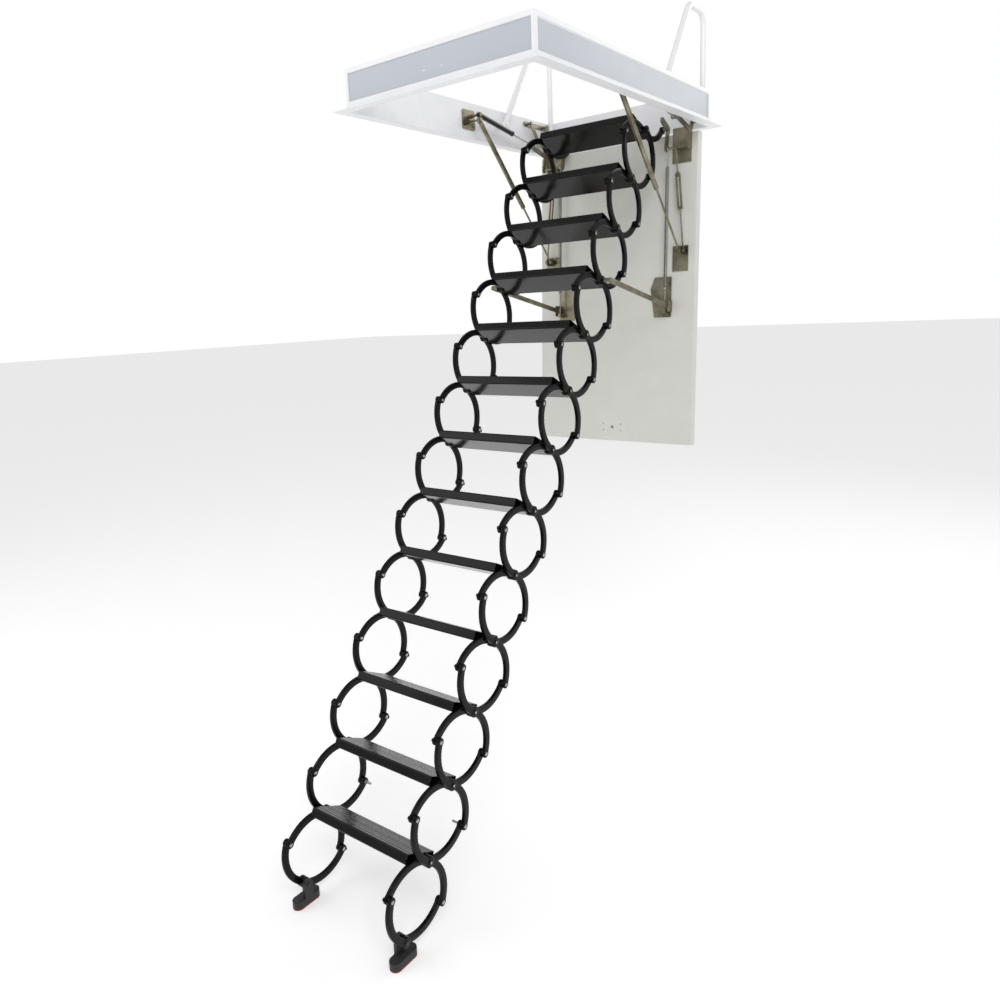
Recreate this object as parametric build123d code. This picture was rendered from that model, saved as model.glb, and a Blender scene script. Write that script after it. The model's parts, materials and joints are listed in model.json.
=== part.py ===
from build123d import *
import os
from math import asin, atan2, cos, degrees, hypot, radians, sin

os.makedirs("parts", exist_ok=True)

# All sizes in mm. Origin: middle of the hatch frame, level with the top face of its flange.
# X runs across the hatch, +Y points to the hinge side and +Z up.

# hatch frame
frame_width = 736.0
frame_length = 1238.0
frame_height = 129.0
frame_depth = 8.0
web_recess = 4.0
top_band = 13.0
bottom_band = 27.0
end_lip = 10.0
flange_reach = 34.0
flange_thickness = 3.0
fixing_hole_radius = 3.5
fixing_hole_height = 58.0
end_hole_spacing = 70.0
side_hole_spacing = 90.0
side_hole_offset = -80.0

# hatch door
door_width = 712.0
door_length = 1215.0
door_thickness = 35.0
door_lean = 2.7
door_face_y = 537.0
door_face_z = -3.0
door_top_drop = 22.0
latch_drop = 1179.0
latch_hole_radius = 7.0
latch_screw_radius = 2.5
latch_screw_spacing_x = 82.0
latch_screw_spacing_up = 28.0

# ladder
step_count = 13
step_pitch = 220.0
ladder_slope = 57.0
ring_reach = 125.5
top_crossing_y = 362.25
top_crossing_z = -25.9
link_width = 22.0
link_thickness = 12.0
link_gap = 1.0
inner_link_x = 203.0
eye_radius = 13.0
boss_radius = 17.0
stop_reach = 17.5
stop_width = 9.0
pin_radius = 4.5
axle_radius = 5.0
head_radius = 7.0
head_thickness = 2.5
running_clearance = 0.3

# treads
tread_tilt = 26.2
tread_front = 85.0
tread_back = 41.0
tread_top = 20.0
tread_bottom = 10.0
tread_wall = 2.6
tread_side_gap = 1.5
groove_count = 6
groove_width = 3.0
groove_depth = 0.8
axle_block = 22.0

# feet
foot_length = 100.0
foot_width = 38.0
foot_height = 22.0
foot_drop = 42.0
pad_thickness = 4.0
lug_thickness = 12.0
peg_length = 26.0
peg_radius = 4.0

# steel hardware
plate_thickness = 4.0
bar_thickness = 6.0
bolt_radius = 4.0
nut_width = 13.0
nut_thickness = 6.0
screw_radius = 4.5
screw_height = 2.0
hinge_y = 541.0
hinge_z = 13.0
hinge_pin_radius = 5.0
hinge_ear_x = 326.0
lever_x = 232.0
spring_x = 244.0
spring_radius = 7.0
spring_wire = 2.5
hardware_out = 28.0
pivot_out = 25.0
shoulder_drop = 18.0
shoulder_out = 13.0
lever_tip_up = 23.0
lever_tip_out = 63.0
arm_x = 252.0
arm_width = 18.0
arm_drop = 679.0
arm_hole_spacing = 22.0
arm_hole_radius = 3.0
sleeve_radius = 8.0
stay_x = 296.0
gas_x = 316.0
stay_anchor_y = 10.0
stay_anchor_z = 52.0
gas_anchor_y = 35.0
gas_anchor_z = 78.0
gas_arm_out = 137.0
gas_arm_up = 8.0
stay_foot_up = -466.0
rail_x = 345.0
rail_radius = 11.0
rail_height = 405.0
rail_front_y = 240.0
rail_back_y = 600.0
rail_bend_y = 462.0
rail_bend_radius = 42.0
rail_foot_z = 62.0
rail_bolt_step = 22.0
door_edge_radius = 3.0
latch_screw_depth = 20.0
tread_nose_radius = 5.0
tread_heel_radius = 2.0
tread_cell_radius = 1.5
hanger_front_y = 437.0
hanger_back_y = 553.0
hanger_z = 106.0
hanger_end = 22.0
hanger_knee_y = 486.0
hanger_knee_z = 45.0
hanger_width = 18.0
upright_leg_x = 333.0
bracket_plate_x = 253.0
bracket_drop = 132.0
pivot_drop = 76.0
lever_width = 24.0
gas_arm_width = 20.0
eye_half = 6.0
eye_outer = 9.0
screw_inset = 14.0
plate_screw_inset = 12.0
plate_screw_drop = 20.0
big_plate_x = 187.0
big_plate_ear_x = 259.0
big_plate_top = 563.0
big_plate_bottom = 722.0
big_plate_nose = 17.0
big_plate_nose_drop = 45.0
ear_length = 44.0
ear_reach = 38.0
small_plate_x = 262.0
small_plate_width = 64.0
small_plate_below = 78.0
small_plate_above = 20.0
stay_ear_x = 304.0
stay_foot_out = 22.0
turnbuckle_top_x = 276.0
turnbuckle_bottom_x = 313.0
turnbuckle_start = 0.25
turnbuckle_end = 0.6
turnbuckle_width = 18.0
turnbuckle_thickness = 9.0
turnbuckle_end_block = 12.0
turnbuckle_rod_radius = 3.0
spring_top = 150.0
spring_coil_end = 605.0
spring_bottom = 690.0
guide_step = 4
stay_length = 414.0
stay_radius = 9.0
stay_bore = 7.0
stay_bore_start = 26.0
stay_rod_shorter = 14.0
stay_rod_radius = 4.0
gas_length = 228.0
gas_rod_length = 190.0
gas_radius = 9.5
gas_bore = 7.2
gas_bore_start = 24.0
gas_rod_radius = 3.5
frame_bracket_width = 78.0
frame_bracket_height = 72.0
frame_bracket_corner = 8.0
frame_bracket_collar = 16.0
frame_bracket_screw_rise = 22.0
frame_bracket_screw_inset = 10.0
head_gap = 2.0

# derived
half_width = frame_width / 2
half_length = frame_length / 2
inner_x = half_width - frame_depth
inner_y = half_length - frame_depth
down_y = -cos(radians(ladder_slope))
down_z = -sin(radians(ladder_slope))
half_pitch = step_pitch / 2
arc_radius = (half_pitch ** 2 + ring_reach ** 2) / step_pitch
arc_sweep = degrees(2 * asin(hypot(half_pitch, ring_reach) / 2 / arc_radius))
outer_link_x = inner_link_x + link_thickness + link_gap
outer_face_x = outer_link_x + link_thickness
tread_half = inner_link_x - tread_side_gap
door_plane = Plane(
    origin=(0, door_face_y, door_face_z),
    x_dir=(1, 0, 0),
    z_dir=(0, -cos(radians(door_lean)), sin(radians(door_lean))),
)


def save(node, solids):
    export_step(Compound(children=list(solids)), f"parts/{node}.step")
    print(node, len(solids))


def single(shape):
    return Solid(shape.solids()[0].wrapped)


def both_sides(solids):
    return solids + [single(mirror(solid, Plane.YZ)) for solid in solids]


def crossing(step):
    """World Y and Z of the point where the two links of a ring cross."""
    along = (step - 1) * step_pitch
    return (top_crossing_y + along * down_y, top_crossing_z + along * down_z)


def ring_point(step, along, rear):
    """World Y and Z of a point given down the ladder and to its rear from a crossing."""
    y, z = crossing(step)
    return (y + along * down_y - rear * down_z, z + along * down_z + rear * down_y)


def ring_plane(step, x):
    """Local X runs down the ladder, local Y to its rear and local Z to +X."""
    y, z = crossing(step)
    return Plane(origin=(x, y, z), x_dir=(0, down_y, down_z), z_dir=(1, 0, 0))


def x_plane(x):
    """Local X is world Y, local Y is world Z and local Z is world X."""
    return Plane(origin=(x, 0, 0), x_dir=(0, 1, 0), z_dir=(1, 0, 0))


def door_point(up, out):
    """World Y and Z of a point given up the door and out from its face."""
    lean = radians(door_lean)
    return (
        door_face_y + up * sin(lean) - out * cos(lean),
        door_face_z + up * cos(lean) + out * sin(lean),
    )


def rod(start, end, radius):
    run = Vector(*end) - Vector(*start)
    place = Plane(origin=start, z_dir=run)
    return single(place * Cylinder(radius, run.length, align=(Align.CENTER, Align.CENTER, Align.MIN)))


def cross_rod(x_start, x_end, centre, radius):
    """Round bar along X at a world Y and Z."""
    return rod((x_start, *centre), (x_end, *centre), radius)


def headed_pin(x_start, x_end, centre, radius):
    """Bar along X with a round head outside each end."""
    shank = cross_rod(x_start, x_end, centre, radius)
    near_head = cross_rod(x_start - head_thickness, x_start, centre, head_radius)
    far_head = cross_rod(x_end, x_end + head_thickness, centre, head_radius)
    return single(shank + near_head + far_head)


def eye(x_start, x_end, centre, radius, bore):
    """Ring around a bolt that runs along X."""
    return cross_rod(x_start, x_end, centre, radius) - cross_rod(x_start, x_end, centre, bore)


def slot(start, end, width):
    run_x = end[0] - start[0]
    run_y = end[1] - start[1]
    middle = Pos((start[0] + end[0]) / 2, (start[1] + end[1]) / 2)
    return middle * Rot(0, 0, degrees(atan2(run_y, run_x))) * SlotCenterToCenter(hypot(run_x, run_y), width)


def bar(x, points, width, thickness, hole_radii):
    """Flat bar square to X along world Y and Z points, with a hole at each point that has a radius."""
    face = slot(points[0], points[1], width)
    for start, end in zip(points[1:], points[2:]):
        face += slot(start, end, width)
    for point, hole_radius in zip(points, hole_radii):
        if hole_radius:
            face -= Pos(*point) * Circle(hole_radius)
    return single(extrude(x_plane(x) * face, thickness))


def toward(start, end, distance):
    """World Y and Z at a distance from one point towards another."""
    length = hypot(end[0] - start[0], end[1] - start[1])
    share = distance / length
    return (start[0] + (end[0] - start[0]) * share, start[1] + (end[1] - start[1]) * share)


def on_door(shape):
    """Place a shape drawn with X across the door, Y up it and Z out from its face."""
    return door_plane * shape


def door_plate(x_start, x_end, up_start, up_end):
    centre = Pos((x_start + x_end) / 2, (up_start + up_end) / 2, plate_thickness / 2)
    return on_door(centre * Box(x_end - x_start, up_end - up_start, plate_thickness))


def door_screw(x, up):
    head = Pos(x, up, plate_thickness) * Cylinder(
        screw_radius, screw_height, align=(Align.CENTER, Align.CENTER, Align.MIN)
    )
    return single(on_door(head))


# hatch frame pieces
def frame_side(length, flange_length, hole_spacing, hole_offset):
    """Side along X whose inner face is at Y 0 and whose flange reaches to -Y."""
    web_face = frame_depth - web_recess
    section = Polyline(
        (0, 0),
        (-frame_depth, 0),
        (-frame_depth, bottom_band),
        (-web_face, bottom_band + web_recess),
        (-web_face, frame_height - top_band - web_recess),
        (-frame_depth, frame_height - top_band),
        (-frame_depth, frame_height),
        (0, frame_height),
        close=True,
    )
    profile_plane = Plane(origin=(-length / 2, 0, 0), x_dir=(0, 1, 0), z_dir=(1, 0, 0))
    side = extrude(profile_plane * make_face(section), length)
    reach = frame_depth + flange_reach
    side += Pos(0, -reach / 2, -flange_thickness / 2) * Box(flange_length, reach, flange_thickness)
    for end in (-1, 1):
        lip_place = Pos(end * (length - end_lip) / 2, -frame_depth / 2, frame_height / 2)
        side += lip_place * Box(end_lip, frame_depth, frame_height)
        hole_place = Pos(hole_offset + end * hole_spacing / 2, -frame_depth / 2, fixing_hole_height)
        side -= hole_place * Rot(90, 0, 0) * Cylinder(fixing_hole_radius, frame_depth * 2)
    return side


def build_frame():
    flange_width = frame_width + 2 * flange_reach
    end_side = frame_side(frame_width, flange_width, end_hole_spacing, 0)
    long_side = frame_side(2 * inner_y, 2 * inner_y, side_hole_spacing, side_hole_offset)
    left_side = frame_side(2 * inner_y, 2 * inner_y, side_hole_spacing, -side_hole_offset)
    save("frame_front", [single(Pos(0, -inner_y, 0) * end_side)])
    save("frame_back", [single(Pos(0, inner_y, 0) * Rot(0, 0, 180) * end_side)])
    save("frame_right", [single(Pos(inner_x, 0, 0) * Rot(0, 0, 90) * long_side)])
    save("frame_left", [single(Pos(-inner_x, 0, 0) * Rot(0, 0, -90) * left_side)])


def build_handrails():
    path = FilletPolyline(
        (rail_front_y, rail_foot_z),
        (rail_bend_y, rail_height),
        (rail_back_y, rail_height),
        (rail_back_y, rail_foot_z),
        radius=rail_bend_radius,
    )
    route = x_plane(rail_x) * path
    tube = single(sweep(Plane(origin=route @ 0, z_dir=route % 0) * Circle(rail_radius), path=route))
    pieces = [tube]
    for y, z in (
        toward((rail_front_y, rail_foot_z), (rail_bend_y, rail_height), rail_bolt_step),
        (rail_back_y, rail_foot_z + rail_bolt_step),
    ):
        pieces[0] = single(pieces[0] - cross_rod(rail_x - 2 * rail_radius, inner_x, (y, z), bolt_radius))
        bolt = cross_rod(rail_x - rail_radius, inner_x, (y, z), bolt_radius)
        head = cross_rod(rail_x - rail_radius - head_thickness, rail_x - rail_radius, (y, z), head_radius)
        pieces.append(single(bolt + head))
    save("handrails", both_sides(pieces))


# hatch door and its steel hardware
def build_door():
    panel = Pos(0, -door_top_drop - door_length / 2, -door_thickness / 2) * Box(
        door_width, door_length, door_thickness
    )
    panel = fillet(panel.edges().filter_by(Axis.Y), door_edge_radius)
    panel -= Pos(0, -latch_drop, -door_thickness / 2) * Cylinder(latch_hole_radius, 2 * door_thickness)
    for side in (-1, 1):
        for row in (-1, 1):
            hole = Pos(side * latch_screw_spacing_x / 2, -latch_drop + row * latch_screw_spacing_up / 2, 0)
            panel -= hole * Cylinder(latch_screw_radius, 2 * latch_screw_depth)
    save("hatch_door", [single(on_door(panel))])


def build_hinge_hangers():
    hinge = (hinge_y, hinge_z)
    slanted_top = (hanger_front_y, hanger_z)
    upright_top = (hanger_back_y, hanger_z)
    rail = bar(
        inner_x - plate_thickness - 1,
        [(hanger_front_y - hanger_end, hanger_z), (hanger_back_y + hanger_end, hanger_z)],
        hanger_width,
        plate_thickness + 1,
        (0, 0),
    )
    rail_face = inner_x - plate_thickness - 1
    slanted_x = upright_leg_x + bar_thickness
    slanted = bar(
        slanted_x, [slanted_top, (hanger_knee_y, hanger_knee_z), hinge], hanger_width,
        plate_thickness, (bolt_radius, 0, hinge_pin_radius),
    )
    upright = bar(
        upright_leg_x, [upright_top, hinge], hanger_width, plate_thickness, (bolt_radius, hinge_pin_radius)
    )
    front_bolt = headed_pin(slanted_x, rail_face, slanted_top, bolt_radius)
    back_bolt = headed_pin(upright_leg_x, rail_face, upright_top, bolt_radius)
    pin = headed_pin(hinge_ear_x, slanted_x + plate_thickness, hinge, hinge_pin_radius)
    for centre in (slanted_top, upright_top):
        rail = single(rail - cross_rod(rail_face, inner_x, centre, head_radius))
    save("hinge_hangers", both_sides([rail, slanted, upright, front_bolt, back_bolt, pin]))


def build_hinge_brackets():
    hinge = (hinge_y, hinge_z)
    link_pin = ring_point(1, -half_pitch, ring_reach)
    shoulder = door_point(-shoulder_drop, shoulder_out)
    pivot = door_point(-pivot_drop, pivot_out)
    gas_tip = door_point(gas_arm_up, gas_arm_out)
    plate = single(door_plate(bracket_plate_x, hinge_ear_x + plate_thickness, -bracket_drop, 0))
    ear = bar(
        hinge_ear_x, [hinge, shoulder, pivot], lever_width, plate_thickness,
        (hinge_pin_radius + running_clearance, 0, bolt_radius),
    )
    gas_arm = bar(hinge_ear_x, [shoulder, gas_tip], gas_arm_width, plate_thickness, (0, bolt_radius))
    ear = single(ear + gas_arm)
    lever = single(
        bar(lever_x, [link_pin, pivot], lever_width, bar_thickness, (pin_radius, bolt_radius))
        + bar(lever_x, [link_pin, door_point(lever_tip_up, lever_tip_out)], lever_width, bar_thickness, (pin_radius, 0))
    )
    lever = single(lever - cross_rod(lever_x, lever_x + bar_thickness, link_pin, pin_radius))
    inner_stop = inner_link_x - running_clearance
    pin = headed_pin(inner_stop, lever_x + bar_thickness, link_pin, pin_radius)
    spacer_start = inner_link_x + link_thickness + running_clearance
    pin = single(pin + cross_rod(spacer_start, lever_x, link_pin, head_radius))
    pivot_bolt = headed_pin(lever_x, hinge_ear_x + plate_thickness, pivot, bolt_radius)
    gas_bolt = headed_pin(
        gas_x - eye_half - head_gap, hinge_ear_x + plate_thickness, gas_tip, bolt_radius
    )
    screws = [
        door_screw(x, up)
        for x in (bracket_plate_x + screw_inset, hinge_ear_x - screw_inset)
        for up in (-bracket_drop + screw_inset, -screw_inset - door_top_drop)
    ]
    save("hinge_brackets", both_sides([plate, ear, lever, pin, pivot_bolt, gas_bolt] + screws))


def build_door_plates():
    outline = Polyline(
        (big_plate_x, -big_plate_top),
        (big_plate_ear_x, -big_plate_top),
        (big_plate_ear_x, -big_plate_bottom),
        (big_plate_x, -big_plate_bottom),
        (big_plate_x - big_plate_nose, -(big_plate_top + big_plate_nose_drop)),
        close=True,
    )
    big_plate = single(on_door(extrude(make_face(outline), plate_thickness)))
    arm_pivot = door_point(-arm_drop, pivot_out)
    ear_face = Pos(-arm_drop, 0) * Rectangle(ear_length, 2 * ear_reach)
    ear_plane = Plane(
        origin=(big_plate_ear_x, door_face_y, door_face_z), x_dir=(0, sin(radians(door_lean)),
        cos(radians(door_lean))), z_dir=(1, 0, 0),
    )
    ear = extrude(ear_plane * ear_face, plate_thickness) - on_door(
        Pos(big_plate_ear_x, -arm_drop, -ear_reach) * Box(50, 2 * ear_length, 2 * ear_reach)
    )
    ear = single(ear - cross_rod(big_plate_ear_x, big_plate_ear_x + plate_thickness, arm_pivot, bolt_radius))
    arm_bolt = headed_pin(arm_x, big_plate_ear_x + plate_thickness, arm_pivot, bolt_radius)
    spring_lug = single(on_door(
        Pos(spring_x, -spring_bottom - 8, (hardware_out + 8) / 2) * Box(12, 16, hardware_out + 8)
        - Pos(spring_x, 0, plate_thickness / 2) * Box(60, 4 * spring_bottom, plate_thickness)
    ))
    small_plate = single(door_plate(small_plate_x, small_plate_x + small_plate_width,
        stay_foot_up - small_plate_below, stay_foot_up + small_plate_above))
    stay_foot = door_point(stay_foot_up, stay_foot_out)
    foot_ear = single(
        on_door(Pos(stay_ear_x + plate_thickness / 2, stay_foot_up, (ear_reach + plate_thickness) / 2)
        * Box(plate_thickness, 30, ear_reach - plate_thickness))
        - cross_rod(stay_ear_x, stay_ear_x + plate_thickness, stay_foot, bolt_radius)
    )
    foot_bolt = headed_pin(stay_x - eye_half - head_gap, turnbuckle_bottom_x + 4, stay_foot, bolt_radius)
    screws = [
        door_screw(big_plate_x + screw_inset, -big_plate_bottom + plate_screw_inset),
        door_screw(big_plate_ear_x - screw_inset, -big_plate_bottom + plate_screw_inset),
        door_screw(big_plate_ear_x - screw_inset, -big_plate_top - plate_screw_drop),
    ] + [
        door_screw(small_plate_x + inset, stay_foot_up - small_plate_below + plate_screw_inset)
        for inset in (plate_screw_inset, small_plate_width - plate_screw_inset)
    ]
    save("door_plates", both_sides(
        [big_plate, ear, arm_bolt, spring_lug, small_plate, foot_ear, foot_bolt] + screws
    ))


def build_turnbuckles():
    top = (turnbuckle_top_x, *door_point(-pivot_drop, pivot_out))
    bottom = (turnbuckle_bottom_x, *door_point(stay_foot_up, stay_foot_out))
    start = Vector(*top)
    run = Vector(*bottom) - start
    frame_start = start + run * turnbuckle_start
    frame_end = start + run * turnbuckle_end
    top_eye = eye(top[0] - 3, top[0] + 3, top[1:], 9, bolt_radius)
    bottom_eye = eye(bottom[0] - 3, bottom[0] + 3, bottom[1:], 9, bolt_radius)
    upper = single(top_eye + rod(tuple(start + run * (8 / run.length)), tuple(frame_start + run * 0.03), turnbuckle_rod_radius))
    lower_start = tuple(frame_end - run * 0.03)
    lower = single(bottom_eye + rod(lower_start, tuple(start + run * (1 - 8 / run.length)), turnbuckle_rod_radius))
    place = Plane(origin=tuple((frame_start + frame_end) * 0.5), x_dir=(1, 0, -run.X / run.Z), z_dir=run)
    length = (frame_end - frame_start).length
    body = Box(turnbuckle_width, turnbuckle_thickness, length)
    body -= Box(turnbuckle_width / 2, 2 * turnbuckle_thickness, length - 2 * turnbuckle_end_block)
    body -= Cylinder(turnbuckle_rod_radius, 2 * length)
    lock_nut = Pos(0, 0, -length / 2 - nut_thickness) * extrude(
        RegularPolygon(nut_width / 2, 6) - Circle(turnbuckle_rod_radius), nut_thickness
    )
    save("turnbuckles", both_sides([upper, single(place * body), lower, single(place * lock_nut)]))


def build_springs():
    top = door_point(-pivot_drop, pivot_out)
    coil_top = door_point(-spring_top, hardware_out)
    coil_bottom = door_point(-spring_coil_end, hardware_out)
    bottom = door_point(-spring_bottom, hardware_out)
    hook = eye(spring_x - 3, spring_x + 3, top, 8, bolt_radius)
    upper = rod((spring_x, *toward(top, coil_top, 6)), (spring_x, *coil_top), spring_wire)
    coil = rod((spring_x, *coil_top), (spring_x, *coil_bottom), spring_radius)
    lower = rod((spring_x, *coil_bottom), (spring_x, *bottom), spring_wire)
    save("springs", both_sides([single(hook + upper), coil, lower]))


def build_guide_arms():
    pivot = door_point(-arm_drop, pivot_out)
    axle = crossing(guide_step)
    arm = bar(arm_x, [pivot, axle], arm_width, bar_thickness, (bolt_radius + running_clearance, bolt_radius))
    for place in (arm_hole_spacing, 2 * arm_hole_spacing):
        arm = single(arm - cross_rod(arm_x, arm_x + bar_thickness, toward(axle, pivot, place), arm_hole_radius))
    bolt = headed_pin(arm_x - 1, arm_x + bar_thickness, axle, bolt_radius)
    sleeve = cross_rod(outer_face_x + head_thickness + 2.5, arm_x, axle, sleeve_radius) - bolt
    save("guide_arms", both_sides([arm, bolt, single(sleeve)]))


# stays and gas struts
def tube_with_eye(x, anchor, end, length, outer, bore, bore_start):
    ring = eye(x - eye_half, x + eye_half, anchor, eye_outer, bolt_radius + running_clearance)
    tube = rod((x, *toward(anchor, end, eye_outer - 1)), (x, *toward(anchor, end, length)), outer)
    hollow = rod((x, *toward(anchor, end, bore_start)), (x, *toward(anchor, end, length + 1)), bore)
    return single(ring + tube - hollow)


def rod_with_eye(x, anchor, end, length, radius):
    ring = eye(x - eye_half, x + eye_half, anchor, eye_outer, bolt_radius + running_clearance)
    return single(
        ring + rod((x, *toward(anchor, end, eye_outer - 1)), (x, *toward(anchor, end, length)), radius)
    )


def build_struts():
    stay_anchor = (stay_anchor_y, stay_anchor_z)
    stay_foot = door_point(stay_foot_up, stay_foot_out)
    gas_anchor = (gas_anchor_y, gas_anchor_z)
    gas_tip = door_point(gas_arm_up, gas_arm_out)
    upper = tube_with_eye(stay_x, stay_anchor, stay_foot, stay_length, stay_radius, stay_bore, stay_bore_start)
    lower = rod_with_eye(stay_x, stay_foot, stay_anchor, stay_length - stay_rod_shorter, stay_rod_radius)
    cylinder = tube_with_eye(gas_x, gas_anchor, gas_tip, gas_length, gas_radius, gas_bore, gas_bore_start)
    piston = rod_with_eye(gas_x, gas_tip, gas_anchor, gas_rod_length, gas_rod_radius)
    save("stay_upper", both_sides([upper]))
    save("stay_lower", both_sides([lower]))
    save("gas_cylinders", both_sides([cylinder]))
    save("gas_rods", both_sides([piston]))


def build_frame_brackets():
    plate_x = inner_x - plate_thickness
    centre_y = (stay_anchor_y + gas_anchor_y) / 2
    centre_z = (stay_anchor_z + gas_anchor_z) / 2
    face = Pos(centre_y, centre_z) * Rectangle(frame_bracket_width, frame_bracket_height)
    plate = single(extrude(x_plane(plate_x) * fillet(face.vertices(), frame_bracket_corner), plate_thickness))
    pieces = [plate]
    for anchor, x in (((stay_anchor_y, stay_anchor_z), stay_x), ((gas_anchor_y, gas_anchor_z), gas_x)):
        shank = cross_rod(x - eye_half - head_gap, plate_x, anchor, bolt_radius)
        head = cross_rod(x - eye_half - head_gap - head_thickness, x - eye_half - head_gap, anchor, head_radius)
        collar = cross_rod(plate_x - frame_bracket_collar, plate_x, anchor, head_radius)
        pieces.append(single(shank + head + collar))
    for side in (-1, 1):
        place = (centre_y + side * (frame_bracket_width / 2 - frame_bracket_screw_inset), centre_z - side * frame_bracket_screw_rise)
        pieces.append(cross_rod(plate_x - screw_height, plate_x, place, screw_radius))
    save("frame_brackets", both_sides(pieces))


# scissor ladder
def half_link(down, rear):
    """Curved half of a link from the crossing to a pin, drawn in the ring plane."""
    arc = CenterArc((down * arc_radius, 0), arc_radius, 180 if down > 0 else 0, -down * rear * arc_sweep)
    return SlotArc(arc, link_width) + Pos(down * half_pitch, rear * ring_reach) * Circle(eye_radius)


def stop_nub(down, rear):
    """Small stop beyond the pin of an inner link."""
    centre = Pos(down * half_pitch, rear * (ring_reach + stop_reach / 2))
    return centre * Rectangle(stop_width, stop_reach)


def link(step, x, halves, bore, pin_bore, nubs):
    face = Circle(boss_radius)
    for down, rear in halves:
        face += half_link(down, rear)
        if nubs:
            face += stop_nub(down, rear)
    for down, rear in halves:
        face -= Pos(down * half_pitch, rear * ring_reach) * Circle(pin_bore)
    face -= Circle(bore)
    return single(extrude(ring_plane(step, x) * face, link_thickness))


def ring_pin(step, down, rear, peg):
    """Pin of an outer link, through the inner link beside it."""
    start = inner_link_x - running_clearance
    pin = headed_pin(start, outer_face_x, ring_point(step, down * half_pitch, rear * ring_reach), pin_radius)
    if peg:
        centre = ring_point(step, down * half_pitch, rear * ring_reach)
        pin = single(pin + cross_rod(start - peg_length, start, centre, peg_radius))
    return pin


def build_outer_links(step):
    halves = ((1, 1),) if step == 1 else ((-1, -1), (1, 1))
    solids = [link(step, outer_link_x, halves, axle_radius + running_clearance, pin_radius, False)]
    for down, rear in halves:
        peg = step == step_count - 1 and rear > 0
        solids.append(ring_pin(step, down, rear, peg))
    save(f"outer_links_{step:02d}", both_sides(solids))


def build_inner_links(step):
    halves = ((-1, 1), (1, -1))
    bore = axle_radius + running_clearance
    solid = link(step, inner_link_x, halves, bore, pin_radius + running_clearance, True)
    save(f"inner_links_{step:02d}", both_sides([solid]))


def build_end_links():
    step = step_count + 1
    bore = pin_radius + running_clearance
    outer = link(step, outer_link_x, ((-1, -1),), bore, pin_radius, False)
    inner = link(step, inner_link_x, ((-1, 1),), bore, bore, True)
    save("end_links_outer", both_sides([outer, ring_pin(step, -1, -1, False)]))
    save("end_links_inner", both_sides([inner]))


def tread_section():
    depth = tread_front + tread_back
    height = tread_top + tread_bottom
    middle = ((tread_back - tread_front) / 2, (tread_top - tread_bottom) / 2)
    face = Pos(*middle) * Rectangle(depth, height)
    corners = face.vertices().group_by(Axis.X)
    face = fillet(corners[0], tread_nose_radius)
    face = fillet(face.vertices().group_by(Axis.X)[-1], tread_heel_radius)
    inner_height = height - 2 * tread_wall
    half_block = axle_block / 2
    nose_rib = -(tread_front + half_block) / 2
    cells = (
        (-tread_front + tread_wall, nose_rib - tread_wall / 2),
        (nose_rib + tread_wall / 2, -half_block),
        (half_block, tread_back - tread_wall),
    )
    for start, end in cells:
        cell = Rectangle(end - start, inner_height)
        face -= Pos((start + end) / 2, middle[1]) * fillet(cell.vertices(), tread_cell_radius)
    groove_pitch = (depth - 40) / (groove_count - 1)
    for index in range(groove_count):
        place = Pos(-tread_front + 20 + index * groove_pitch, tread_top)
        face -= place * Rectangle(groove_width, 2 * groove_depth)
    return face - Circle(axle_radius)


def build_tread(step):
    y, z = crossing(step)
    tilt = radians(tread_tilt)
    plane = Plane(origin=(-tread_half, y, z), x_dir=(0, cos(tilt), -sin(tilt)), z_dir=(1, 0, 0))
    body = single(extrude(plane * tread_section(), 2 * tread_half))
    reach = outer_face_x + running_clearance
    axle = headed_pin(-reach, reach, (y, z), axle_radius)
    save(f"tread_{step:02d}", [body, axle])


def build_feet():
    y, z = crossing(step_count + 1)
    lug_x = inner_link_x - running_clearance - lug_thickness
    middle_x = lug_x + foot_width / 2
    block_top = z - foot_drop
    stadium = Rot(0, 0, 90) * SlotOverall(foot_length, foot_width)
    block = Pos(middle_x, y, block_top - foot_height) * extrude(stadium, foot_height)
    lug = bar(lug_x, [(y, z), (y, block_top)], 2 * boss_radius, lug_thickness, (pin_radius, 0))
    lug_cut = Pos(middle_x, y, block_top - foot_height) * Box(200, 200, foot_height * 2)
    block += lug - lug_cut
    pin = headed_pin(lug_x, outer_face_x + running_clearance, (y, z), pin_radius)
    pad = Pos(middle_x, y, block_top - foot_height - pad_thickness) * extrude(stadium, pad_thickness)
    save("feet", both_sides([single(block), pin]))
    save("foot_pads", both_sides([single(pad)]))


build_frame()
build_handrails()
build_door()
build_hinge_hangers()
build_hinge_brackets()
build_door_plates()
build_turnbuckles()
build_springs()
build_guide_arms()
build_struts()
build_frame_brackets()
for number in range(1, step_count + 1):
    build_outer_links(number)
    build_inner_links(number)
    build_tread(number)
build_end_links()
build_feet()
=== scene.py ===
import json
import math

import bmesh
import bpy
from mathutils import Matrix, Vector


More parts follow.
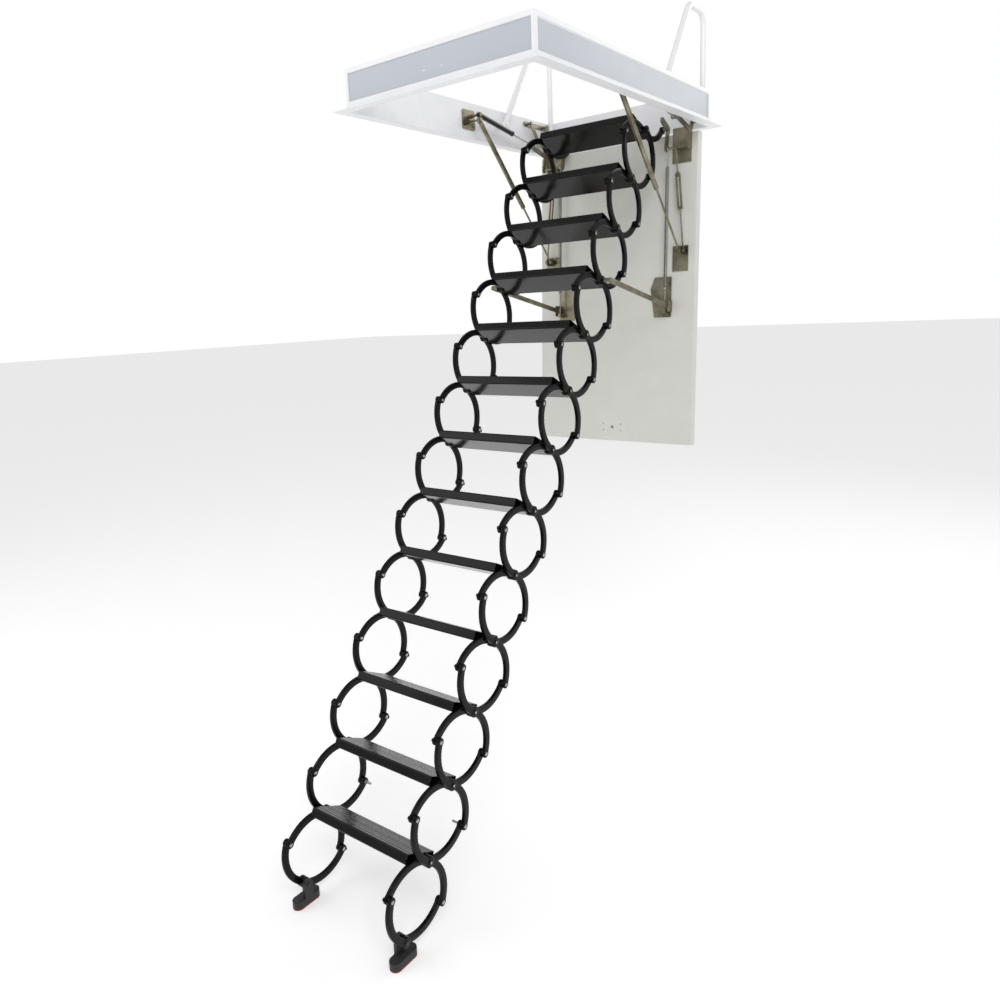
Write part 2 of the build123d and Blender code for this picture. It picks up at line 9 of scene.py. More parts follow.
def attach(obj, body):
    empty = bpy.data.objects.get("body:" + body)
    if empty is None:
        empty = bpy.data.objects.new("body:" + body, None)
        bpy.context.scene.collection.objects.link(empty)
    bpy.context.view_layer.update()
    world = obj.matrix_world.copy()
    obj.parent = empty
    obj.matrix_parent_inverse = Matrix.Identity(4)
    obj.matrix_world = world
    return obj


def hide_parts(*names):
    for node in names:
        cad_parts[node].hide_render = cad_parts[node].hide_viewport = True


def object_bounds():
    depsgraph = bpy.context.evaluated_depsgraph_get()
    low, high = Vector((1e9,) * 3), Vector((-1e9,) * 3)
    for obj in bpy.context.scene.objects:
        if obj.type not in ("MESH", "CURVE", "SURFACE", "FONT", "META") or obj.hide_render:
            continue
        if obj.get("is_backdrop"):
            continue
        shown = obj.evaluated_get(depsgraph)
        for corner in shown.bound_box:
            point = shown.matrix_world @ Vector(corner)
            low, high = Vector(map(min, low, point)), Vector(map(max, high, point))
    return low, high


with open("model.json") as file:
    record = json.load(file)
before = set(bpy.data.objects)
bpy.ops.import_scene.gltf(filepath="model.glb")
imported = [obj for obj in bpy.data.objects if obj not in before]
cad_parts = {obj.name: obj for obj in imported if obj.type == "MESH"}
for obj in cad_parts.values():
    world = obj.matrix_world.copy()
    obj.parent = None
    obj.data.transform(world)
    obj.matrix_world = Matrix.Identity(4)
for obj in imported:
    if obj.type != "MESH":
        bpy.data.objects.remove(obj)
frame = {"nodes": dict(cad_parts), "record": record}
cadLow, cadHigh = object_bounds()
print("frame loaded")

mm = 0.001
weld = 0.00001

# The ladder's lattice: crossings of the links lie on one slanted line.
ladder = {
    "steps": 13,
    "pitch": 220,
    "slope": 57,
    "topY": 362.25,
    "topZ": -25.9,
    "reach": 125.5,
    "innerX": 203,
    "outerX": 216,
    "thickness": 12,
}
slope = math.radians(ladder["slope"])
halfPitch = ladder["pitch"] / 2
arcRadius = (halfPitch**2 + ladder["reach"] ** 2) / ladder["pitch"]
arcSweep = 2 * math.asin(math.hypot(halfPitch, ladder["reach"]) / 2 / arcRadius)

door = {"faceY": 537, "faceZ": -3, "lean": math.radians(2.7)}


def ringFrame(step):
    """Local X runs down the ladder, Y to its rear and Z across the hatch."""
    along = (step - 1) * ladder["pitch"]
    y = ladder["topY"] - along * math.cos(slope)
    z = ladder["topZ"] - along * math.sin(slope)
    origin = Vector((0, y, z)) * mm
    down = Vector((0, -math.cos(slope), -math.sin(slope)))
    rear = Vector((0, math.sin(slope), -math.cos(slope)))
    across = Vector((1, 0, 0))
    turn = Matrix((down, rear, across)).transposed().to_4x4()
    return Matrix.Translation(origin) @ turn @ Matrix.Scale(mm, 4)


def doorPoint(up, out):
    lean = door["lean"]
    return Vector(
        (
            0,
            door["faceY"] + up * math.sin(lean) - out * math.cos(lean),
            door["faceZ"] + up * math.cos(lean) + out * math.sin(lean),
        )
    )


def allOf(mesh):
    return mesh.verts[:] + mesh.edges[:] + mesh.faces[:]


def roundEdges(mesh, width, segments=3, angle=35):
    sharp = [
        e for e in mesh.edges
        if len(e.link_faces) == 2 and e.calc_face_angle(0) > math.radians(angle)
    ]
    bmesh.ops.bevel(
        mesh, geom=sharp, offset=width, segments=segments, affect="EDGES",
        profile=0.5, material=-1, clamp_overlap=True,
    )


def finishPiece(name, mesh, body, surface, bothSides=True, smooth=40):
    """Mirrors, cleans and links a mesh that is already in its place in metres."""
    if bothSides:
        bmesh.ops.mirror(mesh, geom=allOf(mesh), axis="X", merge_dist=-1)
    bmesh.ops.remove_doubles(mesh, verts=mesh.verts[:], dist=weld)
    bmesh.ops.recalc_face_normals(mesh, faces=mesh.faces[:])
    for face in mesh.faces:
        face.smooth = True
    for edge in mesh.edges:
        edge.smooth = edge.calc_face_angle(0) < math.radians(smooth)
    data = bpy.data.meshes.new(name)
    mesh.to_mesh(data)
    mesh.free()
    piece = bpy.data.objects.new(name, data)
    bpy.context.scene.collection.objects.link(piece)
    data.materials.append(materials[surface])
    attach(piece, body)
    return piece


def joinInto(target, part, matrix):
    """Adds a small mesh to a larger one at its place."""
    bmesh.ops.transform(part, matrix=matrix, verts=part.verts[:])
    scratch = bpy.data.meshes.new("scratch")
    part.to_mesh(scratch)
    part.free()
    target.from_mesh(scratch)
    bpy.data.meshes.remove(scratch)


def turned(profile, sides=24):
    """A solid of revolution about local Z from points of height and radius."""
    part = bmesh.new()
    points = [part.verts.new((radius, 0, height)) for height, radius in profile]
    edges = [part.edges.new(pair) for pair in zip(points, points[1:])]
    bmesh.ops.spin(
        part, geom=points + edges, cent=(0, 0, 0), axis=(0, 0, 1),
        angle=2 * math.pi, steps=sides, use_merge=True,
    )
    bmesh.ops.remove_doubles(part, verts=part.verts[:], dist=0.001)
    bmesh.ops.recalc_face_normals(part, faces=part.faces[:])
    return part


def along(start, end):
    """Places local Z on the line from start to end, both in millimetres."""
    run = Vector(end) - Vector(start)
    turn = run.to_track_quat("Z", "Y").to_matrix().to_4x4()
    return Matrix.Translation(Vector(start) * mm) @ turn @ Matrix.Scale(mm, 4)


# Shared surface effects
def socket(group, name, kind, out=False, value=None):
    made = group.interface.new_socket(name=name, in_out="OUTPUT" if out else "INPUT", socket_type=kind)
    if value is not None:
        made.default_value = value


def newGroup(name):
    return bpy.data.node_groups.new(name, "ShaderNodeTree")


def grainGroup():
    group = newGroup("fineGrain")
    socket(group, "Scale", "NodeSocketFloat", value=600.0)
    socket(group, "Height", "NodeSocketFloat", True)
    socket(group, "Cloud", "NodeSocketFloat", True)
    nodes, link = group.nodes, group.links.new
    ins, outs = nodes.new("NodeGroupInput"), nodes.new("NodeGroupOutput")
    place = nodes.new("ShaderNodeTexCoord")
    fine, broad = nodes.new("ShaderNodeTexNoise"), nodes.new("ShaderNodeTexNoise")
    link(place.outputs["Object"], fine.inputs["Vector"])
    link(place.outputs["Object"], broad.inputs["Vector"])
    link(ins.outputs["Scale"], fine.inputs["Scale"])
    fine.inputs["Detail"].default_value = 3
    broad.inputs["Scale"].default_value = 14
    broad.inputs["Detail"].default_value = 7
    broad.inputs["Roughness"].default_value = 0.62
    link(fine.outputs["Fac"], outs.inputs["Height"])
    link(broad.outputs["Fac"], outs.inputs["Cloud"])
    return group


def edgeGroup():
    group = newGroup("edgeWear")
    socket(group, "Radius", "NodeSocketFloat", value=0.0012)
    socket(group, "Mask", "NodeSocketFloat", True)
    socket(group, "Normal", "NodeSocketVector", True)
    nodes, link = group.nodes, group.links.new
    ins, outs = nodes.new("NodeGroupInput"), nodes.new("NodeGroupOutput")
    soft, flat = nodes.new("ShaderNodeBevel"), nodes.new("ShaderNodeNewGeometry")
    soft.samples = 4
    link(ins.outputs["Radius"], soft.inputs["Radius"])
    dot = nodes.new("ShaderNodeVectorMath")
    dot.operation = "DOT_PRODUCT"
    link(soft.outputs["Normal"], dot.inputs[0])
    link(flat.outputs["Normal"], dot.inputs[1])
    spread = nodes.new("ShaderNodeMapRange")
    spread.inputs["From Min"].default_value = 0.995
    spread.inputs["From Max"].default_value = 0.86
    link(dot.outputs["Value"], spread.inputs["Value"])
    place, patches = nodes.new("ShaderNodeTexCoord"), nodes.new("ShaderNodeTexNoise")
    patches.inputs["Scale"].default_value = 90
    patches.inputs["Detail"].default_value = 5
    link(place.outputs["Object"], patches.inputs["Vector"])
    broken = nodes.new("ShaderNodeMath")
    broken.operation = "MULTIPLY"
    link(spread.outputs["Result"], broken.inputs[0])
    link(patches.outputs["Fac"], broken.inputs[1])
    link(broken.outputs["Value"], outs.inputs["Mask"])
    link(soft.outputs["Normal"], outs.inputs["Normal"])
    return group


def dustGroup():
    group = newGroup("settledDust")
    socket(group, "Mask", "NodeSocketFloat", True)
    nodes, link = group.nodes, group.links.new
    outs, place = nodes.new("NodeGroupOutput"), nodes.new("ShaderNodeTexCoord")
    split = nodes.new("ShaderNodeSeparateXYZ")
    link(place.outputs["Normal"], split.inputs["Vector"])
    upward = nodes.new("ShaderNodeMapRange")
    upward.inputs["From Min"].default_value = 0.55
    upward.inputs["From Max"].default_value = 1.0
    link(split.outputs["Z"], upward.inputs["Value"])
    cloud = nodes.new("ShaderNodeTexNoise")
    cloud.inputs["Scale"].default_value = 35
    cloud.inputs["Detail"].default_value = 8
    link(place.outputs["Object"], cloud.inputs["Vector"])
    both = nodes.new("ShaderNodeMath")
    both.operation = "MULTIPLY"
    link(upward.outputs["Result"], both.inputs[0])
    link(cloud.outputs["Fac"], both.inputs[1])
    link(both.outputs["Value"], outs.inputs["Mask"])
    return group


groups = {"grain": grainGroup(), "edge": edgeGroup(), "dust": dustGroup()}


def mixColor(nodes, link, factor, first, second):
    """First and second are sockets or colours."""
    mix = nodes.new("ShaderNodeMix")
    mix.data_type = "RGBA"
    link(factor, mix.inputs["Factor"])
    for place, value in ((6, first), (7, second)):
        if isinstance(value, tuple):
            mix.inputs[place].default_value = (*value, 1)
        else:
            link(value, mix.inputs[place])
    return mix.outputs[2]


def scaled(nodes, link, value, low, high):
    spread = nodes.new("ShaderNodeMapRange")
    spread.inputs["From Min"].default_value = 0.3
    spread.inputs["From Max"].default_value = 0.7
    spread.inputs["To Min"].default_value = low
    spread.inputs["To Max"].default_value = high
    link(value, spread.inputs["Value"])
    return spread.outputs["Result"]


finishes = {
    "white_metal": {
        "tones": ((0.84, 0.85, 0.87), (0.90, 0.90, 0.92)), "worn": (0.95, 0.95, 0.95), "wear": 0.35,
        "rough": (0.34, 0.44), "metal": 0, "coat": 0.15, "grain": 900, "bump": 0.04, "dust": 0.1,
        "edge": 0.0012,
        # painted shade: a grey-blue tone on the outer faces of the frame's sunken webs
        "recessShade": {"tone": (0.50, 0.53, 0.58), "x": 0.3665, "y": 0.6175, "z": 0.002},
    },
    "white_rail": {
        "tones": ((0.87, 0.87, 0.88), (0.91, 0.91, 0.92)), "worn": (0.95, 0.95, 0.95), "wear": 0.2,
        "rough": (0.16, 0.24), "metal": 0, "coat": 0.4, "grain": 700, "bump": 0.03, "dust": 0.08,
        "edge": 0.0006,
    },
    "door_board": {
        "tones": ((0.67, 0.67, 0.62), (0.70, 0.70, 0.655)), "worn": (0.86, 0.86, 0.84), "wear": 0.5,
        "rough": (0.42, 0.54), "metal": 0, "coat": 0.05, "grain": 420, "bump": 0.06, "dust": 0.05,
        "edge": 0.0015,
    },
    "zinc": {
        "tones": ((0.10, 0.09, 0.055), (0.36, 0.33, 0.235)), "worn": (0.62, 0.60, 0.52), "wear": 0.8,
        "rough": (0.24, 0.44), "metal": 0.92, "coat": 0, "grain": 1300, "bump": 0.06, "dust": 0.1,
        "edge": 0.0008,
    },
    "black_alloy": {
        "tones": ((0.0025, 0.0025, 0.003), (0.005, 0.005, 0.0055)), "worn": (0.03, 0.03, 0.03),
        "wear": 0.25,
        "rough": (0.16, 0.26), "metal": 0, "coat": 0.1, "grain": 800, "bump": 0.05, "dust": 0.0,
        "edge": 0.0008,
        "shine": 0.09,
    },
    "black_tread": {
        "tones": ((0.004, 0.0036, 0.0035), (0.009, 0.008, 0.0075)), "worn": (0.06, 0.055, 0.05),
        "wear": 0.3,
        "rough": (0.12, 0.22), "metal": 0, "coat": 0.1, "grain": 900, "bump": 0.03, "dust": 0.01,
        "edge": 0.0008,
        "shine": 0.16,
        "ribs": {"tilt": 26.2, "scale": 62, "depth": 0.14},
    },
    "black_steel": {
        "tones": ((0.005, 0.005, 0.006), (0.010, 0.010, 0.011)), "worn": (0.05, 0.05, 0.05),
        "wear": 0.3,
        "rough": (0.28, 0.4), "metal": 0, "coat": 0.1, "grain": 900, "bump": 0.04, "dust": 0.05,
        "edge": 0.0006,
    },
    "rod_steel": {
        "tones": ((0.30, 0.30, 0.29), (0.52, 0.51, 0.49)), "worn": (0.72, 0.71, 0.69), "wear": 0.4,
        "rough": (0.14, 0.26), "metal": 1, "coat": 0, "grain": 1500, "bump": 0.02, "dust": 0.03,
        "edge": 0.0004,
    },
    "black_plastic": {
        "tones": ((0.009, 0.009, 0.010), (0.016, 0.016, 0.017)), "worn": (0.05, 0.05, 0.05),
        "wear": 0.4,
        "rough": (0.45, 0.6), "metal": 0, "coat": 0, "grain": 1100, "bump": 0.12, "dust": 0.06,
        "edge": 0.0015,
    },
    "red_rubber": {
        "tones": ((0.26, 0.025, 0.02), (0.36, 0.04, 0.03)), "worn": (0.40, 0.09, 0.07), "wear": 0.4,
        "rough": (0.6, 0.78), "metal": 0, "coat": 0, "grain": 700, "bump": 0.15, "dust": 0.08,
        "edge": 0.0008,
    },
}


def ribHeight(nodes, link, ribs):
    """Fine ribs along a tread, on its top and nose only."""
    place, turn = nodes.new("ShaderNodeTexCoord"), nodes.new("ShaderNodeMapping")
    turn.inputs["Rotation"].default_value = (math.radians(ribs["tilt"]), 0, 0)
    link(place.outputs["Object"], turn.inputs["Vector"])
    wave = nodes.new("ShaderNodeTexWave")
    wave.bands_direction = "Y"
    wave.inputs["Scale"].default_value = ribs["scale"]
    link(turn.outputs["Vector"], wave.inputs["Vector"])
    lean = nodes.new("ShaderNodeVectorMath")
    lean.operation = "DOT_PRODUCT"
    tilt = math.radians(ribs["tilt"])
    lean.inputs[1].default_value = (0, math.sin(tilt), math.cos(tilt))
    link(place.outputs["Normal"], lean.inputs[0])
    top = nodes.new("ShaderNodeMapRange")
    top.inputs["From Min"].default_value = 0.5
    top.inputs["From Max"].default_value = 0.9
    top.inputs["To Max"].default_value = ribs["depth"]
    link(lean.outputs["Value"], top.inputs["Value"])
    height = nodes.new("ShaderNodeMath")
    height.operation = "MULTIPLY"
    link(wave.outputs["Fac"], height.inputs[0])
    link(top.outputs["Result"], height.inputs[1])
    return height.outputs["Value"]


def recessShadeMask(nodes, link, recessShade):
    """One on the outer faces of the frame's sunken webs, where a painted shade goes, nought elsewhere.
    """
    place, split = nodes.new("ShaderNodeTexCoord"), nodes.new("ShaderNodeSeparateXYZ")
    link(place.outputs["Object"], split.inputs["Vector"])
    outward = nodes.new("ShaderNodeVectorMath")
    outward.operation = "DOT_PRODUCT"
    link(place.outputs["Object"], outward.inputs[0])
    link(place.outputs["Normal"], outward.inputs[1])
    tests = []
    for axis in ("X", "Y"):
        size, inside = nodes.new("ShaderNodeMath"), nodes.new("ShaderNodeMath")
        size.operation, inside.operation = "ABSOLUTE", "LESS_THAN"
        link(split.outputs[axis], size.inputs[0])
        link(size.outputs["Value"], inside.inputs[0])
        inside.inputs[1].default_value = recessShade[axis.lower()]
        tests.append(inside.outputs["Value"])
    for source, limit in ((split.outputs["Z"], recessShade["z"]), (outward.outputs["Value"], 0.2)):
        above = nodes.new("ShaderNodeMath")
        above.operation = "GREATER_THAN"
        above.inputs[1].default_value = limit
        link(source, above.inputs[0])
        tests.append(above.outputs["Value"])
    result = tests[0]
    for test in tests[1:]:
        both = nodes.new("ShaderNodeMath")
        both.operation = "MULTIPLY"
        link(result, both.inputs[0])
        link(test, both.inputs[1])
        result = both.outputs["Value"]
    return result


def makeMaterial(name, look):
    material = bpy.data.materials.new(name)
    material.use_nodes = True
    nodes, link = material.node_tree.nodes, material.node_tree.links.new
    surface = nodes["Principled BSDF"]
    used = {}
    for key, group in groups.items():
        used[key] = nodes.new("ShaderNodeGroup")
        used[key].node_tree = group
    used["grain"].inputs["Scale"].default_value = look["grain"]
    used["edge"].inputs["Radius"].default_value = look["edge"]
    cloud = used["grain"].outputs["Cloud"]
    tone = mixColor(nodes, link, scaled(nodes, link, cloud, 0, 1), *look["tones"])
    # Painted shade: the sunken webs of the frame take a darker grey-blue tone.
    if "recessShade" in look:
        recessShade = look["recessShade"]
        tone = mixColor(nodes, link, recessShadeMask(nodes, link, recessShade), tone, recessShade["tone"])
    worn = nodes.new("ShaderNodeMath")
    worn.operation = "MULTIPLY"
    worn.inputs[1].default_value = look["wear"]
    link(used["edge"].outputs["Mask"], worn.inputs[0])
    tone = mixColor(nodes, link, worn.outputs["Value"], tone, look["worn"])
    dusty = nodes.new("ShaderNodeMath")
    dusty.operation = "MULTIPLY"
    dusty.inputs[1].default_value = look["dust"]
    link(used["dust"].outputs["Mask"], dusty.inputs[0])
    tone = mixColor(nodes, link, dusty.outputs["Value"], tone, (0.46, 0.44, 0.41))
    link(tone, surface.inputs["Base Color"])
    link(scaled(nodes, link, cloud, *look["rough"]), surface.inputs["Roughness"])
    surface.inputs["Metallic"].default_value = look["metal"]
    surface.inputs["Specular IOR Level"].default_value = look.get("shine", 0.5)
    surface.inputs["Coat Weight"].default_value = look["coat"]
    surface.inputs["Coat Roughness"].default_value = 0.12
    bump = nodes.new("ShaderNodeBump")
    bump.inputs["Strength"].default_value = look["bump"]
    bump.inputs["Distance"].default_value = 0.0006
    link(used["grain"].outputs["Height"], bump.inputs["Height"])
    link(used["edge"].outputs["Normal"], bump.inputs["Normal"])
    normal = bump.outputs["Normal"]
    if "ribs" in look:
        ribbed = nodes.new("ShaderNodeBump")
        ribbed.inputs["Distance"].default_value = 0.0016
        link(ribHeight(nodes, link, look["ribs"]), ribbed.inputs["Height"])
        link(normal, ribbed.inputs["Normal"])
        normal = ribbed.outputs["Normal"]
    link(normal, surface.inputs["Normal"])
    return material


materials = {name: makeMaterial(name, look) for name, look in finishes.items()}
slots = {row["node"]: row["material_slot"] for row in frame["record"]["subparts"]}
for node, item in frame["nodes"].items():
    item.data.materials.clear()
    item.data.materials.append(materials[slots[node]])
print("materials made")

# Links of the scissor ladder: curved bars between a boss at the crossing and an eye at each pin
linkShape = {
    "width": 22, "barSink": 0.25, "boss": 17, "eye": 13, "round": 1.6, "bend": 14, "sides": 36,
    "nub": (9, 17.5), "nubThinner": 1, "nubRound": 1.2,
}


def curvedBar(down, rear, low):
    part = bmesh.new()
    sink, half = linkShape["barSink"], linkShape["width"] / 2
    high = low + ladder["thickness"]
    low, high = low + sink, high - sink
    section = [(-half, low), (half, low), (half, high), (-half, high)]
    start = part.faces.new([part.verts.new((x, 0, z)) for x, z in section])
    bmesh.ops.spin(
        part, geom=[start, *start.edges, *start.verts], cent=(down * arcRadius, 0, 0), axis=(0, 0, 1),
        angle=-down * rear * arcSweep, steps=linkShape["bend"],
    )
    bmesh.ops.recalc_face_normals(part, faces=part.faces[:])
    roundEdges(part, linkShape["round"])
    return part


def disc(radius, low, height, edge):
    part = bmesh.new()
    made = bmesh.ops.create_circle(part, cap_ends=True, segments=linkShape["sides"], radius=radius)
    bmesh.ops.translate(part, vec=(0, 0, low), verts=made["verts"])
    grown = bmesh.ops.extrude_face_region(part, geom=part.faces[:])
    top = [v for v in grown["geom"] if isinstance(v, bmesh.types.BMVert)]
    bmesh.ops.translate(part, vec=(0, 0, height), verts=top)
    bmesh.ops.recalc_face_normals(part, faces=part.faces[:])
    roundEdges(part, edge, segments=2, angle=60)
    return part


def nub(down, rear, low):
    part = bmesh.new()
    bmesh.ops.create_cube(part, size=1)
    width, length = linkShape["nub"]
    thickness = ladder["thickness"] - linkShape["nubThinner"]
    bmesh.ops.scale(part, vec=(width, length, thickness), verts=part.verts[:])
    centre = (down * halfPitch, rear * (ladder["reach"] + length / 2), low + ladder["thickness"] / 2)
    bmesh.ops.translate(part, vec=centre, verts=part.verts[:])
    roundEdges(part, linkShape["nubRound"])
    return part


def linkPiece(name, node, step, low, halves, body, nubs=False):
    mesh = bmesh.new()
    place = ringFrame(step)
    for down, rear in halves:
        joinInto(mesh, curvedBar(down, rear, low), place)
        pin = Matrix.Translation((down * halfPitch, rear * ladder["reach"], 0))
        eye = disc(linkShape["eye"], low, ladder["thickness"], linkShape["round"])
        joinInto(mesh, eye, place @ pin)
        if nubs:
            joinInto(mesh, nub(down, rear, low), place)
    boss = disc(linkShape["boss"], low, ladder["thickness"], linkShape["round"])
    joinInto(mesh, boss, place)
    piece = finishPiece(name, mesh, body, "black_alloy")
    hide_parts(node)
    return piece


# Riveted pins with a low domed head at each end
rivet = {
    "radius": 4.5, "head": 5.9, "rise": 2.5, "inner": 202.7, "outer": 228, "peg": (26, 4), "chamfer": 1,
}


def headedProfile(low, high, shank, head, rise):
    dome = [(0, 1), (0.35, 1), (0.75, 0.8), (1, 0.45), (1, 0)]
    lower = [(low - rise * out, head * wide) for out, wide in reversed(dome)]
    upper = [(high + rise * out, head * wide) for out, wide in dome]
    return [*lower, (low, shank), (high, shank), *upper]


def pinPiece(name, node, step, halves, body, pegged=False):
    mesh = bmesh.new()
    place = ringFrame(step)
    for down, rear in halves:
        profile = headedProfile(
            rivet["inner"], rivet["outer"], rivet["radius"], rivet["head"], rivet["rise"],
        )
        pin = Matrix.Translation((down * halfPitch, rear * ladder["reach"], 0))
        joinInto(mesh, turned(profile), place @ pin)
        if pegged and rear > 0:
            length, radius = rivet["peg"]
            low = rivet["inner"] - length
            high, chamfer = rivet["inner"], rivet["chamfer"]
            peg = [(low, 0), (low, radius - chamfer), (low + chamfer, radius), (high, radius), (high, 0)]
            joinInto(mesh, turned(peg), place @ pin)
    piece = finishPiece(name, mesh, body, "rod_steel")
    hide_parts(node)


# Bright caps over the ends of the tread axles
axleCap = {"inside": 228.2, "head": 5.4, "face": 231.1, "slope": (1.6, 0.5), "sides": 28}

for step in range(1, ladder["steps"] + 1):
    tag = f"{step:02d}"
    outerHalves = ((1, 1),) if step == 1 else ((-1, -1), (1, 1))
    linkPiece(
        f"outerLinks_{tag}", f"outer_links_{tag}", step, ladder["outerX"], outerHalves,
        f"outer_link_{tag}",
    )
    linkPiece(
        f"innerLinks_{tag}", f"inner_links_{tag}", step, ladder["innerX"], ((-1, 1), (1, -1)),
        f"inner_link_{tag}", nubs=True,
    )
    pinPiece(
        f"linkPins_{tag}", f"outer_links_{tag}", step, outerHalves, f"outer_link_{tag}",
        pegged=step == ladder["steps"] - 1,
    )
    mesh = bmesh.new()
    inside, head, face = axleCap["inside"], axleCap["head"], axleCap["face"]
    rim, brow = (face - size for size in axleCap["slope"])
    dome = [(inside, 0), (inside, head), (rim, head), (brow, head * 0.82), (face, head * 0.5), (face, 0)]
    joinInto(mesh, turned(dome, axleCap["sides"]), ringFrame(step))
    finishPiece(f"axleCaps_{tag}", mesh, f"step_{tag}", "rod_steel")

last = ladder["steps"] + 1
linkPiece("endLinksOuter", "end_links_outer", last, ladder["outerX"], ((-1, -1),), "end_outer")
linkPiece(
    "endLinksInner", "end_links_inner", last, ladder["innerX"], ((-1, 1),), "end_inner", nubs=True,
)
pinPiece("endPins", "end_links_outer", last, ((-1, -1),), "end_outer")
print("links made")

# Coil springs along the door, each with a hook and a threaded tail
spring = {
    "x": 244, "top": 150, "end": 605, "out": 28, "outside": 7.9, "wire": 1.3, "rise": 3.9,
    "stepsPerTurn": 10, "wireSides": 5, "pivot": (76, 25), "tail": 690, "rod": 2.5, "rodSides": 16,
    "cone": (3, 8, 6.2, 2.6), "coneSides": 20, "hook": (3, 4.4, 8, 0.6), "hookSides": 28, "hookGap": 6,
}


def coil(length):
    part = bmesh.new()
    ring = bmesh.ops.create_circle(
        part, cap_ends=True, segments=spring["wireSides"], radius=spring["wire"],
    )
    upright = Matrix.Rotation(math.pi / 2, 4, "X")
    turn = Matrix.Translation((spring["outside"] - spring["wire"], 0, 0)) @ upright
    bmesh.ops.transform(part, matrix=turn, verts=ring["verts"])
    turns = (length - 2 * spring["wire"]) / spring["rise"]
    steps = int(turns * spring["stepsPerTurn"])
    bmesh.ops.spin(
        part, geom=allOf(part), cent=(0, 0, 0), axis=(0, 0, 1), angle=2 * math.pi * turns,
        steps=steps, dvec=(0, 0, (length - 2 * spring["wire"]) / steps),
    )
    bmesh.ops.recalc_face_normals(part, faces=part.faces[:])
    return part


def atX(point, x):
    return (x, point.y, point.z)


mesh = bmesh.new()
top = atX(doorPoint(-spring["top"], spring["out"]), spring["x"])
end = atX(doorPoint(-spring["end"], spring["out"]), spring["x"])
tail = atX(doorPoint(-spring["tail"], spring["out"]), spring["x"])
eye = atX(doorPoint(-spring["pivot"][0], spring["pivot"][1]), spring["x"])
length = (Vector(end) - Vector(top)).length
joinInto(mesh, coil(length), along(top, end))
for start, finish, trim in ((eye, top, spring["hookGap"]), (end, tail, 0)):
    run = (Vector(finish) - Vector(start)).length
    radius = spring["rod"]
    bar = [(trim, 0), (trim, radius), (run - 1, radius), (run, radius - 0.8), (run, 0)]
    joinInto(mesh, turned(bar, spring["rodSides"]), along(start, finish))
shoulder, tip, wide, narrow = spring["cone"]
for centre, target in ((top, eye), (end, tail)):
    cone = [(0, 0), (0, wide), (shoulder, wide), (tip, narrow), (tip, 0)]
    joinInto(mesh, turned(cone, spring["coneSides"]), along(centre, target))
half, bore, outside, edge = spring["hook"]
ring = [
    (-half, bore), (-half, outside - edge), (edge - half, outside), (half - edge, outside),
    (half, outside - edge), (half, bore), (-half, bore),
]
hook = turned(ring, spring["hookSides"])
joinInto(mesh, hook, along(eye, (eye[0] + 1, eye[1], eye[2])))
springs = finishPiece("coilSprings", mesh, "door", "rod_steel", smooth=50)
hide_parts("springs")
print("springs made")

# Collars round the open ends of the gas cylinders and the stay tubes
collar = {
    "gas": {
        "x": 316, "anchor": (35, 78), "tip": (8, 137), "at": 228, "bore": 7.2, "outside": 9.9,
        "long": 13,
    },
    "stay": {
        "x": 296, "anchor": (10, 52), "tip": (-466, 22), "at": 414, "bore": 7.0, "outside": 9.4,
        "long": 9,
    },
}
collarEdge = {"width": 0.8, "lip": 0.6, "sides": 32, "overhang": 0.6}
for name, body, surface in (("gas", "gas_cylinder", "black_plastic"), ("stay", "stay_tube", "zinc")):
    size = collar[name]
    start = (size["x"], *size["anchor"])
    finish = atX(doorPoint(*size["tip"]), size["x"])
    low, high = size["at"] - size["long"], size["at"] + collarEdge["overhang"]
    bore, outside, edge = size["bore"], size["outside"], collarEdge["width"]
    ring = [
        (low, bore), (low, outside - collarEdge["lip"]), (low + edge, outside), (high - edge, outside),
        (high, outside - edge), (high, bore), (low, bore),
    ]
    mesh = bmesh.new()
    joinInto(mesh, turned(ring, collarEdge["sides"]), along(start, finish))
    finishPiece(f"{name}Collars", mesh, body, surface)
print("collars made")

# Pale floor, soft light and the camera
floorZ = cadLow.z
stage = {"size": 60, "tone": (0.93, 0.93, 0.93), "glow": 0.3, "rough": 0.9}
mesh = bmesh.new()
bmesh.ops.create_grid(mesh, x_segments=1, y_segments=1, size=stage["size"])
bmesh.ops.translate(mesh, vec=(0, 0, floorZ), verts=mesh.verts[:])
data = bpy.data.meshes.new("floor")
mesh.to_mesh(data)
mesh.free()
floor = bpy.data.objects.new("floor", data)
bpy.context.scene.collection.objects.link(floor)
paper = bpy.data.materials.new("floorPaper")
paper.use_nodes = True
surface = paper.node_tree.nodes["Principled BSDF"].inputs
surface["Base Color"].default_value = (*stage["tone"], 1)
surface["Roughness"].default_value = stage["rough"]
surface["Emission Color"].default_value = (1, 1, 1, 1)
surface["Emission Strength"].default_value = stage["glow"]
data.materials.append(paper)
floor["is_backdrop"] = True

world = bpy.data.worlds.new("paleWorld")
bpy.context.scene.world = world
world.use_nodes = True
sky = {"light": 0.55, "seen": 1.0}
nodes, wire = world.node_tree.nodes, world.node_tree.links.new
nodes["Background"].inputs["Color"].default_value = (1, 1, 1, 1)
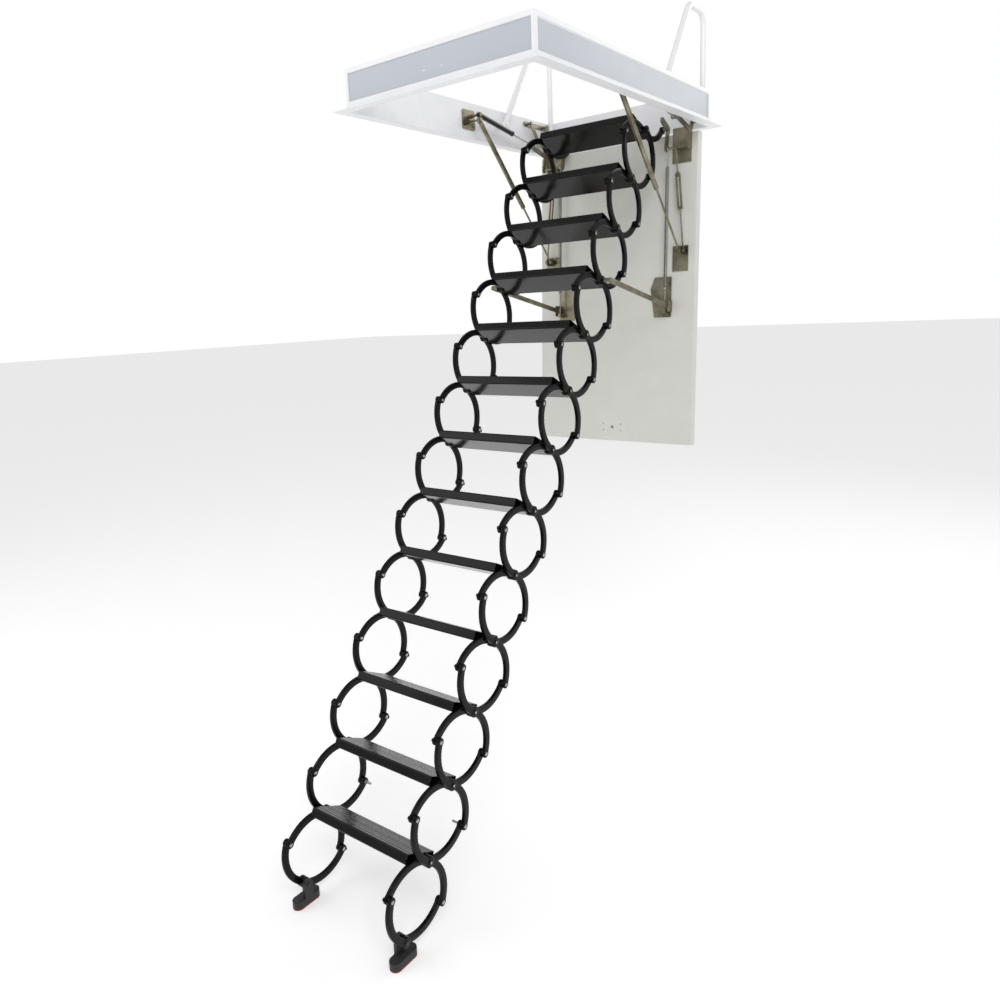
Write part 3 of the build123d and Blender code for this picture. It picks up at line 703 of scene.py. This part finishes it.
path, strength = nodes.new("ShaderNodeLightPath"), nodes.new("ShaderNodeMapRange")
strength.inputs["To Min"].default_value = sky["light"]
strength.inputs["To Max"].default_value = sky["seen"]
wire(path.outputs["Is Camera Ray"], strength.inputs["Value"])
wire(strength.outputs["Result"], nodes["Background"].inputs["Strength"])

lamps = {
    "keyLight": {"at": (3.2, -3.6, 2.2), "size": 2.6, "power": 95},
    "fillLight": {"at": (-3.4, -3.0, 0.6), "size": 3.0, "power": 32},
    "rimLight": {"at": (1.5, 4.0, 1.8), "size": 2.4, "power": 40},
}
aim = Vector((0, -0.2, -1.0))
for name, lamp in lamps.items():
    light = bpy.data.lights.new(name, "AREA")
    light.size = lamp["size"]
    light.energy = lamp["power"]
    item = bpy.data.objects.new(name, light)
    item.location = lamp["at"]
    item.rotation_mode = "QUATERNION"
    item.rotation_quaternion = (aim - Vector(lamp["at"])).to_track_quat("-Z", "Y")
    bpy.context.scene.collection.objects.link(item)

view = {
    "at": (1.666, -2.633, -0.676), "azimuth": 39.34, "elevation": -10.55, "roll": -0.0482,
    "lens": 29.22, "shift": (0.0454, -0.0334),
}
azimuth, elevation, roll = math.radians(view["azimuth"]), math.radians(view["elevation"]), view["roll"]
level = math.cos(elevation)
forward = Vector((-math.sin(azimuth) * level, math.cos(azimuth) * level, math.sin(elevation)))
right = forward.cross(Vector((0, 0, 1))).normalized()
upright = right.cross(forward)
rolledRight = math.cos(roll) * right + math.sin(roll) * upright
rolledUp = -math.sin(roll) * right + math.cos(roll) * upright
camera = bpy.data.objects.new("camera", bpy.data.cameras.new("camera"))
camera.data.sensor_width = 36
camera.data.lens = view["lens"]
camera.data.shift_x, camera.data.shift_y = view["shift"]
camera.data.clip_start = 0.05
camera.data.clip_end = 200
turn = Matrix((rolledRight, rolledUp, -forward)).transposed().to_4x4()
camera.matrix_world = Matrix.Translation(view["at"]) @ turn
bpy.context.scene.collection.objects.link(camera)
bpy.context.scene.camera = camera
bpy.context.scene.view_settings.view_transform = "Standard"

low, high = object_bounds()
print("scene ready")
